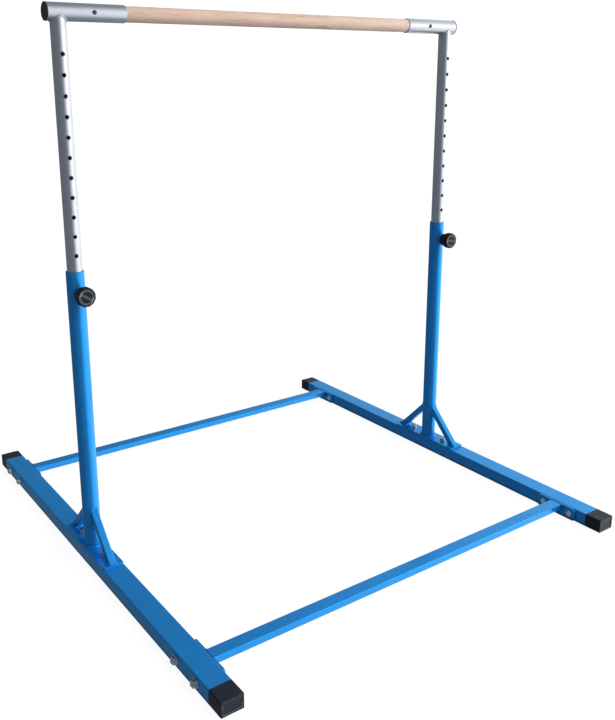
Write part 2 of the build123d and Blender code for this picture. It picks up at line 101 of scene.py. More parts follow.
class Recipe:
    """One node material, built around its Principled shader. Its patterns lie in object space."""

    def __init__(self, name):
        self.material = bpy.data.materials.new(name)
        self.material.use_nodes = True
        self.nodes = self.material.node_tree.nodes
        self.links = self.material.node_tree.links
        self.shader = self.nodes["Principled BSDF"]
        self.coords = self.node("TexCoord").outputs["Object"]

    def node(self, kind, inputs=None, **settings):
        """A new shader node, with its inputs fed by name or number."""
        made = self.nodes.new("ShaderNode" + kind)
        for key, value in settings.items():
            setattr(made, key, value)
        for key, value in (inputs or {}).items():
            self.feed(made.inputs[key], value)
        return made

    def feed(self, socket, value):
        """Link a socket to an input, or set the input to a constant."""
        if isinstance(value, bpy.types.NodeSocket):
            self.links.new(value, socket)
        else:
            socket.default_value = value

    def set(self, **values):
        """Constants or sockets on the shader, with spaces in names written as underscores."""
        for key, value in values.items():
            self.feed(self.shader.inputs[key.replace("_", " ")], value)

    def stretched(self, scale):
        """Coordinates in which a pattern is drawn out along the axes with a small scale."""
        return self.node("Mapping", {"Vector": self.coords, "Scale": scale}).outputs["Vector"]

    def noise(self, scale, detail=2.0, roughness=0.5, vector=None, distortion=0.0):
        inputs = {
            "Vector": vector or self.coords,
            "Scale": scale,
            "Detail": detail,
            "Roughness": roughness,
            "Distortion": distortion,
        }
        return self.node("TexNoise", inputs).outputs["Fac"]

    def cells(self, scale):
        """Distance from the nearest of many scattered points."""
        return self.node("TexVoronoi", {"Vector": self.coords, "Scale": scale}).outputs["Distance"]

    def math(self, operation, first, second=0.0):
        made = self.node("Math", operation=operation)
        self.feed(made.inputs[0], first)
        self.feed(made.inputs[1], second)
        return made.outputs[0]

    def both(self, first, second):
        """The product of two masks, or of a mask and a share."""
        return self.math("MULTIPLY", first, second)

    def remap(self, value, start, end, to_start=0.0, to_end=1.0):
        """A value stretched from one range to another, and held at the ends."""
        inputs = {
            "Value": value,
            "From Min": start,
            "From Max": end,
            "To Min": to_start,
            "To Max": to_end,
        }
        return self.node("MapRange", inputs, clamp=True).outputs["Result"]

    def mix(self, factor, first, second):
        """The first colour where the factor is 0, and the second where it is 1."""
        made = self.node("Mix", data_type="RGBA")
        self.feed(made.inputs["Factor"], factor)
        self.feed(made.inputs[6], first)
        self.feed(made.inputs[7], second)
        return made.outputs[2]

    def axis(self, name):
        """One coordinate of the object's own space, in metres."""
        return self.node("SeparateXYZ", {"Vector": self.coords}).outputs[name]

    def from_post_axis(self, up):
        """Distance from a line along Y through a post's middle, with the height above it in a socket."""
        across = self.math("SUBTRACT", self.math("ABSOLUTE", self.axis("X")), POST_X)
        flat = self.node("CombineXYZ", {"X": across, "Y": up})
        return self.node("VectorMath", {0: flat.outputs["Vector"]}, operation="LENGTH").outputs["Value"]

    def edges(self, radius, start=0.98):
        """0 on flat and evenly curved surfaces, rising towards 1 on sharp edges."""
        rounded = self.node("Bevel", {"Radius": radius}, samples=EDGE_SAMPLES).outputs["Normal"]
        real = self.node("NewGeometry").outputs["Normal"]
        aligned = self.node("VectorMath", operation="DOT_PRODUCT")
        self.feed(aligned.inputs[0], rounded)
        self.feed(aligned.inputs[1], real)
        return self.remap(aligned.outputs["Value"], start, start - EDGE_RAMP)

    def bump(self, height, distance, strength, below=None):
        """A normal that follows a pattern's height, on top of another bump if one is given."""
        inputs = {"Height": height, "Distance": distance, "Strength": strength}
        if below is not None:
            inputs["Normal"] = below
        return self.node("Bump", inputs).outputs["Normal"]


def rgb(red, green, blue):
    """An opaque colour from linear values."""
    return (red, green, blue, 1.0)


def blue_paint():
    """Glossy blue powder coat: faint orange peel, small changes of tone, specks of dirt, edges lightened
    partly by rubbing and partly as a painted highlight, and painted shade near the floor.
    """
    r = Recipe("blue_powder_coat")
    cloud = r.noise(7.0, 3.0, 0.55)
    base = r.mix(r.remap(cloud, 0.3, 0.7), rgb(0.017, 0.258, 0.665), rgb(0.019, 0.286, 0.725))
    specks = r.remap(r.cells(160.0), 0.10, 0.04)
    patchy = r.remap(r.noise(11.0, 2.0), 0.56, 0.66, 0.0, 0.35)
    base = r.mix(r.both(specks, patchy), base, rgb(0.16, 0.30, 0.48))
    # Edges turn a lighter blue: partly rubbed paint, partly a painted highlight along the corners.
    rubbed_and_highlit_edges = r.both(r.edges(2.0 * MM), r.remap(r.noise(60.0, 4.0, 0.65), 0.42, 0.72, 0.0, 0.4))
    base = r.mix(rubbed_and_highlit_edges, base, rgb(0.040, 0.32, 0.78))
    # Painted shade: the paint darkens to navy in a ragged band up to about 6 mm above the floor, in place of
    # the contact shade there.
    ragged = r.both(r.noise(30.0, 4.0, 0.65), 12 * MM)
    painted_floor_shade = r.remap(r.math("SUBTRACT", r.axis("Z"), ragged), 6 * MM, -2 * MM, 0.0, 0.75)
    base = r.mix(painted_floor_shade, base, rgb(0.008, 0.050, 0.120))
    smear = r.noise(3.5, 4.0, 0.6, r.stretched((1.0, 0.35, 1.0)))
    r.set(Base_Color=base, Roughness=r.remap(smear, 0.3, 0.7, 0.19, 0.28))
    r.set(Metallic=0.5, Specular_IOR_Level=0.34, Specular_Tint=rgb(0.65, 1.0, 0.85))
    peel = r.bump(r.noise(420.0, 1.0, 0.4), 0.00006, 0.25)
    r.set(Normal=r.bump(r.noise(38.0, 2.0), 0.0003, 0.10, peel))
    return r.material


def silver_paint():
    """Satin silver coat with fine flake, lengthwise rubbing, grime, and dark rims on the front holes."""
    r = Recipe("silver_coat")
    flake = r.noise(2600.0, 1.0, 0.5)
    grime = r.noise(9.0, 4.0, 0.6)
    rub = r.noise(150.0, 2.0, 0.6, r.stretched((1.0, 1.0, 0.02)))
    base = r.mix(r.remap(grime, 0.35, 0.75), rgb(0.515, 0.535, 0.565), rgb(0.455, 0.473, 0.500))
    base = r.mix(r.remap(flake, 0.62, 0.80, 0.0, 0.4), base, rgb(0.80, 0.81, 0.83))
    base = r.mix(r.remap(rub, 0.60, 0.74, 0.0, 0.22), base, rgb(0.33, 0.34, 0.35))
    above_hole = r.math("PINGPONG", r.math("SUBTRACT", r.axis("Z"), PIN_Z), HOLE_PITCH / 2)
    rim = r.remap(r.from_post_axis(above_hole), HOLE_RADIUS + 2.2 * MM, HOLE_RADIUS)
    below_top = r.remap(r.axis("Z"), TOP_HOLE_Z + 15 * MM, TOP_HOLE_Z + 12 * MM)
    in_front = r.remap(r.axis("Y"), -INNER_RADIUS / 2, -INNER_RADIUS * 0.6)
    grimy_rim = r.both(r.both(rim, r.both(below_top, in_front)), r.remap(grime, 0.30, 0.55, 0.0, 0.7))
    base = r.mix(grimy_rim, base, rgb(0.13, 0.125, 0.12))
    r.set(Base_Color=base, Metallic=0.9, Roughness=r.remap(grime, 0.3, 0.7, 0.28, 0.36))
    r.set(Normal=r.bump(flake, 0.00005, 0.15))
    return r.material


def zinc_plate():
    """Bright zinc plating with soft blotches, a faint warm cast, and a brown tone on what faces up, partly
    grime and partly painted shade.
    """
    r = Recipe("zinc_plating")
    blotch = r.noise(260.0, 3.0, 0.6)
    tint = r.noise(90.0, 2.0)
    base = r.mix(r.remap(blotch, 0.35, 0.65), rgb(0.60, 0.64, 0.70), rgb(0.78, 0.82, 0.88))
    base = r.mix(r.remap(tint, 0.5, 0.75, 0.0, 0.10), base, rgb(0.70, 0.64, 0.52))
    # Upward faces turn a dusty brown: partly grime, partly painted shade that dims the tops' reflection.
    upward = r.node("SeparateXYZ", {"Vector": r.node("NewGeometry").outputs["Normal"]}).outputs["Z"]
    dust_and_painted_shade = r.both(r.remap(upward, 0.75, 0.98), r.remap(blotch, 0.35, 0.6, 0.55, 0.9))
    base = r.mix(dust_and_painted_shade, base, rgb(0.24, 0.20, 0.16))
    r.set(Base_Color=base, Metallic=1.0, Roughness=r.remap(blotch, 0.3, 0.7, 0.24, 0.42))
    r.set(Normal=r.bump(r.noise(900.0, 2.0), 0.00005, 0.35))
    return r.material


def spring_steel():
    """Oiled drawn steel of the pins and springs."""
    r = Recipe("oiled_steel")
    film = r.noise(240.0, 3.0, 0.6)
    base = r.mix(r.remap(film, 0.35, 0.65), rgb(0.30, 0.29, 0.28), rgb(0.46, 0.45, 0.43))
    turned = r.noise(1800.0, 1.0, 0.5, r.stretched((0.05, 1.0, 0.05)))
    r.set(Base_Color=base, Metallic=1.0, Roughness=r.remap(film, 0.3, 0.7, 0.20, 0.34))
    r.set(Normal=r.bump(turned, 0.00004, 0.4))
    return r.material


def dark_screw():
    """Black oxide on the socket screws, rubbed on its edges."""
    r = Recipe("black_oxide")
    film = r.noise(700.0, 3.0, 0.6)
    base = r.mix(r.remap(film, 0.3, 0.7), rgb(0.045, 0.047, 0.050), rgb(0.10, 0.10, 0.105))
    base = r.mix(r.both(r.edges(0.5 * MM), 0.6), base, rgb(0.42, 0.42, 0.42))
    r.set(Base_Color=base, Metallic=0.9, Roughness=r.remap(film, 0.3, 0.7, 0.25, 0.40))
    r.set(Normal=r.bump(film, 0.00004, 0.4))
    return r.material


def cap_plastic():
    """Black moulded plastic with a fine spark texture, its edges paler partly from scuffing and partly as a
    painted highlight.
    """
    r = Recipe("cap_plastic_black")
    mottle = r.noise(55.0, 4.0, 0.6)
    grain = r.noise(1500.0, 2.0, 0.6)
    base = r.mix(r.remap(mottle, 0.3, 0.7), rgb(0.007, 0.009, 0.014), rgb(0.012, 0.015, 0.022))
    # Paler edges: partly scuffing, partly a painted highlight along the caps' edges.
    scuff_and_painted_highlight = r.both(r.edges(3.2 * MM, 0.95), r.remap(r.noise(170.0, 4.0, 0.7), 0.30, 0.60, 0.0, 0.85))
    base = r.mix(scuff_and_painted_highlight, base, rgb(0.27, 0.29, 0.31))
    scratch = r.remap(r.noise(95.0, 5.0, 0.7, r.stretched((1.0, 0.12, 1.0))), 0.66, 0.72, 0.0, 0.35)
    base = r.mix(scratch, base, rgb(0.08, 0.08, 0.08))
    r.set(Base_Color=base, Roughness=r.remap(mottle, 0.3, 0.7, 0.42, 0.58))
    r.set(Specular_IOR_Level=0.32, Specular_Tint=rgb(0.72, 0.90, 1.0))
    r.set(Normal=r.bump(grain, 0.0001, 0.45))
    return r.material


def knob_plastic():
    """Black glass-filled nylon, rubbed grey where fingers and cartons have touched it, with a painted
    highlight on the face's front-most crests.
    """
    r = Recipe("knob_nylon_black")
    mottle = r.noise(240.0, 4.0, 0.6)
    base = r.mix(r.remap(mottle, 0.3, 0.7), rgb(0.005, 0.005, 0.008), rgb(0.010, 0.010, 0.014))
    ahead = r.math("MULTIPLY", r.axis("Y"), -1.0)
    raised = r.remap(ahead, KNOB_FRONT - 1.1 * MM, KNOB_FRONT - 0.7 * MM)
    from_axis = r.from_post_axis(r.math("SUBTRACT", r.axis("Z"), PIN_Z))
    inside_rim = r.remap(from_axis, RING_OUTER, RING_OUTER - 0.6 * MM)
    rubbed = r.both(r.both(raised, inside_rim), r.remap(mottle, 0.2, 0.6, 0.45, 1.0))
    base = r.mix(rubbed, base, rgb(0.084, 0.086, 0.106))
    # Painted highlight: the face's front-most ridges turn pale grey, partly as rubbed wear.
    crest_highlight_and_wear = r.both(r.remap(ahead, KNOB_FRONT - 0.4 * MM, KNOB_FRONT - 0.1 * MM, 0.0, 0.9), inside_rim)
    base = r.mix(crest_highlight_and_wear, base, rgb(0.36, 0.36, 0.37))
    handled = r.both(r.edges(1.4 * MM), r.remap(mottle, 0.32, 0.6, 0.0, 0.75))
    base = r.mix(handled, base, rgb(0.24, 0.24, 0.25))
    r.set(Base_Color=base, Roughness=r.remap(mottle, 0.3, 0.7, 0.30, 0.48), Specular_IOR_Level=0.16)
    r.set(Normal=r.bump(r.noise(2200.0, 2.0), 0.00005, 0.5))
    return r.material


def beech():
    """Pale beech along X: pink and tan patches, growth bands, pores, rays, and a right end paler partly in
    its own tone and partly from painted light.
    """
    r = Recipe("beech_wood")
    patch = r.noise(7.0, 2.0, 0.5, r.stretched((1.6, 7.0, 7.0)))
    heart = r.noise(4.0, 2.0, 0.5, r.stretched((1.9, 11.0, 11.0)))
    bands = r.noise(34.0, 3.0, 0.55, r.stretched((0.035, 1.0, 1.0)), 0.6)
    fibre = r.noise(620.0, 3.0, 0.6, r.stretched((0.02, 1.0, 1.0)))
    ray = r.noise(105.0, 1.0, 0.5, r.stretched((0.11, 1.0, 1.0)))
    base = r.mix(r.remap(bands, 0.32, 0.68), rgb(0.56, 0.39, 0.28), rgb(0.73, 0.555, 0.43))
    base = r.mix(r.remap(patch, 0.42, 0.60, 0.0, 0.8), base, rgb(0.66, 0.43, 0.345))
    base = r.mix(r.remap(heart, 0.47, 0.62, 0.0, 0.6), base, rgb(0.57, 0.425, 0.285))
    # Paler and yellower towards the right end: partly the wood's own tone, partly painted light from the
    # bright right side.
    tone_and_painted_light_to_right = r.remap(r.axis("X"), 0.0, 0.45, 0.0, 0.55)
    base = r.mix(tone_and_painted_light_to_right, base, rgb(0.80, 0.64, 0.50))
    base = r.mix(r.remap(fibre, 0.45, 0.75, 0.0, 0.35), base, rgb(0.41, 0.265, 0.19))
    base = r.mix(r.remap(ray, 0.60, 0.76, 0.0, 0.5), base, rgb(0.42, 0.25, 0.16))
    r.set(Base_Color=base, Roughness=r.remap(fibre, 0.3, 0.7, 0.48, 0.62), IOR=1.45)
    r.set(Normal=r.bump(bands, 0.0003, 0.15, r.bump(fibre, 0.00012, 0.5)))
    return r.material


FINISHES = {
    "blue_paint": blue_paint(),
    "silver_paint": silver_paint(),
    "zinc_plate": zinc_plate(),
    "spring_steel": spring_steel(),
    "dark_screw": dark_screw(),
    "cap_plastic": cap_plastic(),
    "knob_plastic": knob_plastic(),
    "beech": beech(),
}


def dress_nodes():
    """Give every CAD node the finish of its material slot in the record."""
    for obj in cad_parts.values():
        for place in obj.material_slots:
            place.material = FINISHES[place.material.name]


# ---------------------------------------------------------------- mesh helpers


def add_piece(name, mesh, body, slot):
    """A new smooth piece with the finish of a material slot, riding on a body."""
    obj = bpy.data.objects.new(name, mesh)
    bpy.context.scene.collection.objects.link(obj)
    mesh.materials.append(FINISHES[slot])
    for face in mesh.polygons:
        face.use_smooth = True
    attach(obj, body)
    return obj


def mesh_from_rings(name, rings, closed_path):
    """A skin over rings of points, joined end to end or capped at both ends."""
    bm = bmesh.new()
    loops = [[bm.verts.new(p) for p in ring] for ring in rings]
    count = len(loops[0])
    pairs = list(zip(loops, loops[1:]))
    if closed_path:
        pairs.append((loops[-1], loops[0]))
    else:
        bm.faces.new(list(reversed(loops[0])))
        bm.faces.new(loops[-1])
    for here, there in pairs:
        for i in range(count):
            j = (i + 1) % count
            bm.faces.new((here[i], here[j], there[j], there[i]))
    bmesh.ops.recalc_face_normals(bm, faces=bm.faces)
    mesh = bpy.data.meshes.new(name)
    bm.to_mesh(mesh)
    bm.free()
    return mesh


def spaced(points, step):
    """Points at even steps along a closed path."""
    path = [Vector(p) for p in points]
    path.append(path[0])
    spans = [(b - a).length for a, b in zip(path, path[1:])]
    total = sum(spans)
    count = round(total / step)
    places, index, passed = [], 0, 0.0
    for k in range(count):
        reach = total * k / count
        while index < len(spans) - 1 and passed + spans[index] < reach:
            passed += spans[index]
            index += 1
        share = min((reach - passed) / spans[index], 1.0)
        places.append(path[index].lerp(path[index + 1], share))
    return places


# ---------------------------------------------------------------- weld beads

BEAD_SIDES = 12
BEAD_STEP = 0.6 * MM
RIPPLE_PITCH = 3.2 * MM
RIPPLE_SHARE = 0.13
RIPPLE_MIDDLE = 0.6
BEAD_WANDER = 0.25 * MM
WANDER_SCALE = 160.0
BEAD_UNEVENNESS = 0.12
UNEVENNESS_SCALE = 90.0
SEAM_STEPS = 96
SEAM_CORNER = 3.0 * MM
SEAM_CORNER_STEPS = 6

# A bead's radius, and how far its middle lies outside the joined part and off the surface under it.
Seam = namedtuple("Seam", "bead outside off")
FOOT_SEAM = Seam(4.0 * MM, 0.8 * MM, 0.6 * MM)
BRACE_TOE_SEAM = Seam(3.0 * MM, 0.5 * MM, 0.4 * MM)
BRACE_TOP_SEAM = Seam(2.9 * MM, 0.4 * MM, 0.4 * MM)
RAIL_SEAM = Seam(1.9 * MM, 0.3 * MM, 0.3 * MM)
RAIL_SEAM_DROP = 0.8 * MM
BOSS_SEAM = Seam(2.3 * MM, 0.5 * MM, 0.4 * MM)
SADDLE_SEAM = Seam(2.2 * MM, 0.1 * MM, 0.3 * MM)


def bead(name, body, slot, points, radius, axis):
    """A weld bead: a thin rounded run along a closed seam, rippled like overlapping coins."""
    path = spaced(points, BEAD_STEP)
    rings = []
    for k, here in enumerate(path):
        along = (path[(k + 1) % len(path)] - path[k - 1]).normalized()
        side = along.cross(Vector(axis)).normalized()
        up = side.cross(along)
        phase = (k * BEAD_STEP / RIPPLE_PITCH) % 1.0
        swell = 1.0 + RIPPLE_SHARE * (math.sqrt(1.0 - (2.0 * phase - 1.0) ** 2) - RIPPLE_MIDDLE)
        wobble = noise.noise_vector(here * WANDER_SCALE) * BEAD_WANDER
        width = radius * swell * (1.0 + BEAD_UNEVENNESS * noise.noise(here * UNEVENNESS_SCALE))
        turns = (2.0 * math.pi * i / BEAD_SIDES for i in range(BEAD_SIDES))
        rings.append([here + wobble + (side * math.cos(t) + up * math.sin(t)) * width for t in turns])
    add_piece(name, mesh_from_rings(name, rings, True), body, slot)


def circle_points(radius, place):
    """Points round a circle, each placed by a function of its two coordinates."""
    turns = (2.0 * math.pi * i / SEAM_STEPS for i in range(SEAM_STEPS))
    return [place(radius * math.cos(t), radius * math.sin(t)) for t in turns]


def rectangle_points(width, height, place):
    """Points round a rounded rectangle, each placed by a function of its two coordinates."""
    corner = SEAM_CORNER
    points = []
    for quarter, (sx, sy) in enumerate(((1, 1), (-1, 1), (-1, -1), (1, -1))):
        middle = (sx * (width / 2 - corner), sy * (height / 2 - corner))
        for k in range(SEAM_CORNER_STEPS + 1):
            t = math.pi / 2 * (quarter + k / SEAM_CORNER_STEPS)
            points.append(place(middle[0] + corner * math.cos(t), middle[1] + corner * math.sin(t)))
    return points


def foot_weld(name, side):
    """The ring where a post stands on its foot plate."""
    up = PLATE_TOP + FOOT_SEAM.off
    ring = circle_points(POST_RADIUS + FOOT_SEAM.outside, lambda u, v: (side * POST_X + u, v, up))
    bead(f"{name}_foot_weld", "base_frame", "blue_paint", ring, FOOT_SEAM.bead, (0, 0, 1))


def brace_toe_weld(name, side, end_name, end):
    """The seam round a brace's toe on the foot plate."""
    depth = BRACE_WIDTH * math.sqrt(2.0)
    middle = end * (BRACE_TOE - depth / 2)
    up = PLATE_TOP + BRACE_TOE_SEAM.off
    toe = rectangle_points(
        BRACE_WIDTH + 2 * BRACE_TOE_SEAM.outside,
        depth + 2 * BRACE_TOE_SEAM.outside,
        lambda u, v: (side * POST_X + u, middle + v, up),
    )
    seam_name = f"{name}_{end_name}_brace_toe_weld"
    bead(seam_name, "base_frame", "blue_paint", toe, BRACE_TOE_SEAM.bead, (0, 0, 1))


def brace_top_weld(name, side, end_name, end):
    """The seam where a brace's top meets the post."""
    line = PLATE_TOP + BRACE_TOE - BRACE_WIDTH * math.sqrt(2.0) / 2
    width = BRACE_WIDTH + 2 * BRACE_TOP_SEAM.outside

    def on_post(u, v):
        reach = math.sqrt(POST_RADIUS**2 - u**2)
        up = line + v * math.sqrt(2.0) - reach
        return (side * POST_X + u, end * (reach + BRACE_TOP_SEAM.off), up)

    top = rectangle_points(width, width, on_post)
    seam_name = f"{name}_{end_name}_brace_top_weld"
    bead(seam_name, "base_frame", "blue_paint", top, BRACE_TOP_SEAM.bead, (0, end, 0))


def rail_weld(name, side, end_name):
    """The seam round a rail's end on its plate."""
    rail = f"{end_name}_rail"
    across = side * (high(rail).x - RAIL_SEAM.off)
    middle = centre(rail)
    span = size(rail)
    seam = rectangle_points(
        span.y + 2 * RAIL_SEAM.outside,
        span.z + 2 * RAIL_SEAM.outside,
        lambda u, v: (across, middle.y + u, middle.z - RAIL_SEAM_DROP + v),
    )
    bead(f"{name}_{end_name}_rail_weld", "base_frame", "blue_paint", seam, RAIL_SEAM.bead, (1, 0, 0))


def boss_weld(name, side):
    """The seam of the pin's boss on the lower post."""

    def on_post(u, v):
        return (side * POST_X + u, -math.sqrt(POST_RADIUS**2 - u**2) - BOSS_SEAM.off, PIN_Z + v)

    ring = circle_points(BOSS_RADIUS + BOSS_SEAM.outside, on_post)
    bead(f"{name}_boss_weld", "base_frame", "blue_paint", ring, BOSS_SEAM.bead, (0, 1, 0))


def saddle_weld(name, side):
    """The seam where the inner post is cut to fit under its sleeve."""

    def under_sleeve(u, v):
        return (side * POST_X + u, v, BAR_Z - math.sqrt(SLEEVE_RADIUS**2 - v**2) - SADDLE_SEAM.off)

    ring = circle_points(INNER_RADIUS + SADDLE_SEAM.outside, under_sleeve)
    bead(f"{name}_saddle_weld", "upper_frame", "silver_paint", ring, SADDLE_SEAM.bead, (0, 0, 1))


# ---------------------------------------------------------------- knobs

KNOB_STEPS = 240
KNOB_RADIUS = 26 * MM
KNOB_NECK_RADIUS = 20 * MM
KNOB_BORE_RADIUS = 12.8 * MM
KNOB_BORE_DEPTH = 27 * MM
KNOB_HEAD_DEPTH = 19 * MM
RIM_ROUND = 4.0 * MM
BACK_ROUND = 2.0 * MM
FLUTES = 12
FLUTE_DEPTH = 0.9 * MM
NECK_FLUTES = 14
NECK_FLUTE_DEPTH = 1.0 * MM
NECK_FLUTE_RUNOUT = 2.0 * MM
NECK_MOUTH_ROUND = 1.0 * MM
NECK_FILLET = 1.5 * MM
RING_INNER = 15 * MM
FACE_STEP = 0.35 * MM
FACE_SINK = 0.5 * MM
RECESS_DEPTH = 1.6 * MM
CROSS_BAR_HALF = 3.2 * MM
EDGE_BLEND = 0.45 * MM
RING_GROOVE_DEPTH = 0.5 * MM
RIDGE_AT = 18 * MM
RIDGE_HALF = 0.9 * MM
RIDGE_REACH = 7.5 * MM
FACE_TOLERANCE = 0.01 * MM
KNOB_TURNS = {"left": math.radians(-32.0), "right": math.radians(-10.0)}


def smooth_step(value):
    """0 below 0, 1 above 1, and an even curve between."""
    value = max(0.0, min(1.0, value))
    return value * value * (3.0 - 2.0 * value)


def arc(middle, radius, start, end, steps):
    """Profile points (radius from the axis, distance in front of the post's axis) on an arc."""
    turns = (math.radians(start + (end - start) * k / steps) for k in range(steps + 1))
    return [(middle[0] + radius * math.cos(t), middle[1] + radius * math.sin(t)) for t in turns]


def knob_profile():
    """The knob's outline from the bottom of its bore, round the neck and head, to the ring's edge."""
    shoulder = KNOB_FRONT - KNOB_HEAD_DEPTH
    points = [(0.05 * MM, KNOB_BACK + KNOB_BORE_DEPTH), (KNOB_BORE_RADIUS, KNOB_BACK + KNOB_BORE_DEPTH)]
    points.append((KNOB_BORE_RADIUS, KNOB_BACK + 0.6 * MM))
    mouth = (KNOB_NECK_RADIUS - NECK_MOUTH_ROUND, KNOB_BACK + NECK_MOUTH_ROUND)
    points += arc(mouth, NECK_MOUTH_ROUND, -90, 0, 4)
    points += arc((KNOB_NECK_RADIUS + NECK_FILLET, shoulder - NECK_FILLET), NECK_FILLET, 180, 90, 6)
    points += arc((KNOB_RADIUS - BACK_ROUND, shoulder + BACK_ROUND), BACK_ROUND, -90, 0, 6)
    points += arc((KNOB_RADIUS - RIM_ROUND, KNOB_FRONT - RIM_ROUND), RIM_ROUND, 0, 90, 10)
    reach = KNOB_RADIUS - RIM_ROUND
    while reach > FACE_STEP * 1.5:
        reach -= FACE_STEP
        points.append((reach, KNOB_FRONT))
    return points


def face_drop(u, v, turn):
    """How far the knob's face lies below its front plane at one place."""
    reach = math.hypot(u, v)
    along = abs(u * math.cos(turn) + v * math.sin(turn))
    across = abs(-u * math.sin(turn) + v * math.cos(turn))
    groove = smooth_step(1.0 - abs(reach - RING_OUTER) / EDGE_BLEND) * RING_GROOVE_DEPTH
    ring = smooth_step((RING_OUTER - reach) / EDGE_BLEND) * FACE_SINK
    pocket = smooth_step((RING_INNER - reach) / EDGE_BLEND)
    pocket *= smooth_step((across - CROSS_BAR_HALF) / EDGE_BLEND)
    ridge = smooth_step((RIDGE_HALF - abs(along - RIDGE_AT)) / EDGE_BLEND + 0.5)
    ridge *= smooth_step((RIDGE_REACH - across) / EDGE_BLEND)
    return groove + ring * (1.0 - ridge) + pocket * (RECESS_DEPTH - FACE_SINK)


def flute_depths(reach, ahead):
    """How deep the head's and the neck's flutes are at one point of the outline."""
    head_start = KNOB_FRONT - KNOB_HEAD_DEPTH
    on_head = smooth_step((ahead - head_start) / BACK_ROUND)
    outer = smooth_step((reach - (KNOB_RADIUS - RIM_ROUND)) / RIM_ROUND)
    on_neck = 0.0
    if reach > KNOB_BORE_RADIUS + NECK_MOUTH_ROUND:
        on_neck = 1.0 - smooth_step((ahead - head_start) / NECK_FLUTE_RUNOUT + 1.0)
    return FLUTE_DEPTH * on_head * outer, NECK_FLUTE_DEPTH * on_neck


def knob(name, side):
    """The pull knob: fluted head and neck, rounded rim, and a dished face with a bar across it."""
    rings = []
    for reach, ahead in knob_profile():
        on_face = ahead > KNOB_FRONT - FACE_TOLERANCE
        head_depth, neck_depth = flute_depths(reach, ahead)
        ring = []
        for k in range(KNOB_STEPS):
            t = 2.0 * math.pi * k / KNOB_STEPS
            flute = (0.5 + 0.5 * math.cos(FLUTES * t)) ** 2 * head_depth
            flute += (0.5 + 0.5 * math.cos(NECK_FLUTES * t)) ** 2 * neck_depth
            u = (reach - flute) * math.cos(t)
            v = (reach - flute) * math.sin(t)
            drop = face_drop(u, v, KNOB_TURNS[name]) if on_face else 0.0
            ring.append((side * POST_X + u, -(ahead - drop), PIN_Z + v))
        rings.append(ring)
    mesh = mesh_from_rings(f"{name}_pull_knob", rings, False)
    obj = add_piece(f"{name}_pull_knob", mesh, f"{name}_knob_grip", "knob_plastic")
    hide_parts(f"{name}_knob")


# ---------------------------------------------------------------- rail bolts

BOLT_STEPS = 48
BOLT_RADIUS = 5 * MM
BOLT_SPREAD = 47 * MM
BOLT_Z = 20 * MM
BOLT_SEAT_X = high("front_rail").x
BOLT_LENGTH = high("right_rail_bolts").x - BOLT_SEAT_X
DOME_RADIUS = 10 * MM
DOME_HEIGHT = 5 * MM
DOME_RIM = 0.8 * MM
DOME_STEPS = 14
DOME_CHAMFER = 0.1 * MM
THREAD_PITCH = 1.5 * MM
THREAD_DEPTH = 0.75 * MM
THREAD_LENGTH = 12 * MM
LEVELS_PER_TURN = 12
POINT_BEVEL = 1.0 * MM


def bolt_outline():
    """(distance behind the head's seat, radius) down a bolt, from the top of its dome."""
    crown = DOME_HEIGHT - DOME_RIM
    ball = (DOME_RADIUS**2 + crown**2) / (2 * crown)
    widest = math.asin(DOME_RADIUS / ball)
    turns = [widest * k / DOME_STEPS for k in range(1, DOME_STEPS + 1)]
    points = [(ball - DOME_HEIGHT - ball * math.cos(t), ball * math.sin(t)) for t in turns]
    points += [(-DOME_CHAMFER, DOME_RADIUS), (0.0, DOME_RADIUS - DOME_CHAMFER), (0.05 * MM, BOLT_RADIUS)]
    levels = round(THREAD_LENGTH / THREAD_PITCH * LEVELS_PER_TURN)
    reaches = (BOLT_LENGTH - THREAD_LENGTH * (1.0 - k / levels) for k in range(levels + 1))
    return points + [(reach, BOLT_RADIUS) for reach in reaches]


def thread_cut(reach, turn):
    """How deep the thread or the bolt's bevelled point cuts, at a distance and an angle."""
    past = reach - (BOLT_LENGTH - THREAD_LENGTH)
    if past <= 0.0:
        return 0.0
    phase = (reach / THREAD_PITCH - turn / (2.0 * math.pi)) % 1.0
    groove = THREAD_DEPTH * (1.0 - abs(2.0 * phase - 1.0)) * min(1.0, past / THREAD_PITCH)
    return max(groove, reach - (BOLT_LENGTH - POINT_BEVEL))


def rail_bolt(side, y):
    """One domed bolt, with its thread on the end that shows past the nut."""
    turns = [2.0 * math.pi * k / BOLT_STEPS for k in range(BOLT_STEPS)]
    rings = []
    for reach, radius in bolt_outline():
        ring = []
        for t in turns:
            r = radius - thread_cut(reach, t)
            ring.append((side * (BOLT_SEAT_X + reach), y + r * math.cos(t), BOLT_Z + r * math.sin(t)))
        rings.append(ring)
    return mesh_from_rings("rail_bolt", rings, False)


def rail_bolts(name, side):
    """The four bolts that hold the rails to one leg."""
    bm = bmesh.new()
    for end_name in ENDS:
        for offset in (-BOLT_SPREAD, BOLT_SPREAD):
            one = rail_bolt(side, centre(f"{end_name}_rail").y + offset)
            bm.from_mesh(one)
            bpy.data.meshes.remove(one)
    mesh = bpy.data.meshes.new(f"{name}_domed_bolts")
    bm.to_mesh(mesh)
    bm.free()
    obj = add_piece(f"{name}_domed_bolts", mesh, "base_frame", "zinc_plate")
    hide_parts(f"{name}_rail_bolts")


# ---------------------------------------------------------------- the whole object


def build_side(name, side):
    """Everything added to one side of the object."""
    foot_weld(name, side)
    for end_name, end in ENDS.items():
        brace_toe_weld(name, side, end_name, end)
        brace_top_weld(name, side, end_name, end)
        rail_weld(name, side, end_name)
    boss_weld(name, side)
    saddle_weld(name, side)
    rail_bolts(name, side)
    knob(name, side)


dress_nodes()
for side_name, side_sign in SIDES.items():
    build_side(side_name, side_sign)


# ---------------------------------------------------------------- stage, lights and camera

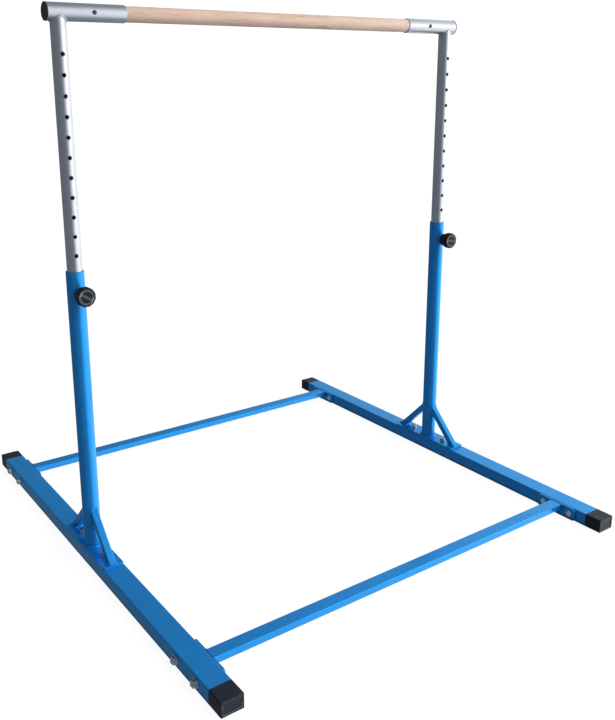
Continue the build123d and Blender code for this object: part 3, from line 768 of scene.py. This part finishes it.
FLOOR_REACH = 60.0
FLOOR_GLOW = 0.93
WHITE = rgb(1.0, 1.0, 1.0)


def build_floor():
    """A plain pale floor. It glows a little, so that its shadows stay light."""
    bm = bmesh.new()
    bmesh.ops.create_circle(bm, cap_ends=True, segments=96, radius=FLOOR_REACH)
    mesh = bpy.data.meshes.new("floor")
    bm.to_mesh(mesh)
    bm.free()
    floor = bpy.data.objects.new("floor", mesh)
    bpy.context.scene.collection.objects.link(floor)
    floor.visible_diffuse = False
    floor.visible_glossy = False
    r = Recipe("floor_paper")
    tone = r.noise(1.3, 2.0)
    r.set(Base_Color=r.mix(tone, rgb(0.13, 0.13, 0.14), rgb(0.15, 0.15, 0.15)), Roughness=0.9)
    r.set(Specular_IOR_Level=0.0, Emission_Color=WHITE, Emission_Strength=FLOOR_GLOW)
    mesh.materials.append(r.material)


def broad_sun(name, towards, spread, strength):
    """Light from one direction with no falloff, soft over an angle in degrees."""
    data = bpy.data.lights.new(name, "SUN")
    data.angle = math.radians(spread)
    data.energy = strength
    lamp = bpy.data.objects.new(name, data)
    bpy.context.scene.collection.objects.link(lamp)
    lamp.rotation_euler = (-Vector(towards)).to_track_quat("-Z", "Y").to_euler()
    return lamp


BRIGHT_SIDE = Vector((0.966, -0.26, 0.0))
BRIGHT_LEVEL = 1.88
CORE_SHARE = 0.28  # the part of the bright side's light that comes from its middle
DIM_LEVEL = 0.23
DIM_COLOUR = rgb(0.92, 1.0, 1.16)
OVERHEAD_SHARE = 0.12
BEHIND_SHARE = 0.66
SEEN_LEVEL = 1.1


def build_world():
    """White to look at. As light it is a broad bright side to the right, and dim blue elsewhere."""
    world = bpy.data.worlds.new("studio")
    bpy.context.scene.world = world
    world.use_nodes = True
    nodes, links = world.node_tree.nodes, world.node_tree.links

    def smooth_range(value, start, end, to_start, to_end):
        """A value eased from one range to another, and held at the ends."""
        made = nodes.new("ShaderNodeMapRange")
        made.interpolation_type = "SMOOTHSTEP"
        links.new(value, made.inputs["Value"])
        for key, number in zip(("From Min", "From Max", "To Min", "To Max"), (start, end, to_start, to_end)):
            made.inputs[key].default_value = number
        return made.outputs["Result"]

    def combine(operation, first, second):
        made = nodes.new("ShaderNodeMath")
        made.operation = operation
        links.new(first, made.inputs[0])
        links.new(second, made.inputs[1])
        return made.outputs[0]

    direction = nodes.new("ShaderNodeTexCoord").outputs["Generated"]
    facing = nodes.new("ShaderNodeVectorMath")
    facing.operation = "DOT_PRODUCT"
    links.new(direction, facing.inputs[0])
    facing.inputs[1].default_value = BRIGHT_SIDE
    broad = smooth_range(facing.outputs["Value"], 0.05, 0.65, 0.0, 1.0 - CORE_SHARE)
    core = smooth_range(facing.outputs["Value"], 0.55, 1.0, 0.0, CORE_SHARE)
    parts = nodes.new("ShaderNodeSeparateXYZ")
    links.new(direction, parts.inputs["Vector"])
    steepness = nodes.new("ShaderNodeMath")
    steepness.operation = "ABSOLUTE"
    links.new(parts.outputs["Z"], steepness.inputs[0])
    near_level = smooth_range(steepness.outputs[0], 0.45, 0.98, 1.0, OVERHEAD_SHARE)
    on_this_side = smooth_range(parts.outputs["Y"], 0.25, 0.75, 1.0, BEHIND_SHARE)
    to_the_side = combine("ADD", broad, core)
    bright = combine("MULTIPLY", to_the_side, combine("MULTIPLY", near_level, on_this_side))
    level = nodes.new("ShaderNodeMapRange")
    links.new(bright, level.inputs["Value"])
    level.inputs["To Min"].default_value = DIM_LEVEL
    level.inputs["To Max"].default_value = BRIGHT_LEVEL
    tone = nodes.new("ShaderNodeMix")
    tone.data_type = "RGBA"
    links.new(bright, tone.inputs["Factor"])
    tone.inputs[6].default_value = DIM_COLOUR
    tone.inputs[7].default_value = WHITE
    lit = nodes.new("ShaderNodeBackground")
    links.new(tone.outputs[2], lit.inputs["Color"])
    links.new(level.outputs["Result"], lit.inputs["Strength"])
    seen = nodes["Background"]
    seen.inputs["Color"].default_value = WHITE
    seen.inputs["Strength"].default_value = SEEN_LEVEL
    choose = nodes.new("ShaderNodeMixShader")
    links.new(nodes.new("ShaderNodeLightPath").outputs["Is Camera Ray"], choose.inputs["Fac"])
    links.new(lit.outputs["Background"], choose.inputs[1])
    links.new(seen.outputs["Background"], choose.inputs[2])
    links.new(choose.outputs["Shader"], nodes["World Output"].inputs["Surface"])


def build_lights():
    """The world, a broad fill that leaves no highlights, and a low glint that makes only those."""
    build_world()
    fill = broad_sun("fill", towards=(0.45, -0.66, 0.60), spread=50.0, strength=1.95)
    fill.visible_glossy = False
    glint = broad_sun("glint", towards=(0.72, -0.68, 0.12), spread=20.0, strength=0.35)
    glint.visible_diffuse = False


CAMERA_PLACE = Vector((-1.4397, -2.0714, 1.3179))
CAMERA_YAW = 0.6065
CAMERA_PITCH = -0.2531
CAMERA_ROLL = -0.0057
CAMERA_SENSOR = 36.0
CAMERA_LENS = 42.245
CAMERA_SHIFT_X = 0.03681
CAMERA_SHIFT_Y = -0.08708


def build_camera():
    """A camera at the angle from which the object is usually shown."""
    yaw, pitch = CAMERA_YAW, CAMERA_PITCH
    ahead = Vector((math.sin(yaw) * math.cos(pitch), math.cos(yaw) * math.cos(pitch), math.sin(pitch)))
    level = ahead.cross(Vector((0, 0, 1))).normalized()
    upright = level.cross(ahead)
    right = level * math.cos(CAMERA_ROLL) + upright * math.sin(CAMERA_ROLL)
    up = upright * math.cos(CAMERA_ROLL) - level * math.sin(CAMERA_ROLL)
    data = bpy.data.cameras.new("camera")
    data.sensor_width = CAMERA_SENSOR
    data.lens = CAMERA_LENS
    data.shift_x, data.shift_y = CAMERA_SHIFT_X, CAMERA_SHIFT_Y
    data.clip_start, data.clip_end = 0.05, 200.0
    camera = bpy.data.objects.new("camera", data)
    bpy.context.scene.collection.objects.link(camera)
    turn = Matrix((right, up, -ahead)).transposed().to_4x4()
    camera.matrix_world = Matrix.Translation(CAMERA_PLACE) @ turn
    bpy.context.scene.camera = camera


build_floor()
build_lights()
build_camera()
bpy.context.scene.view_settings.view_transform = "Standard"
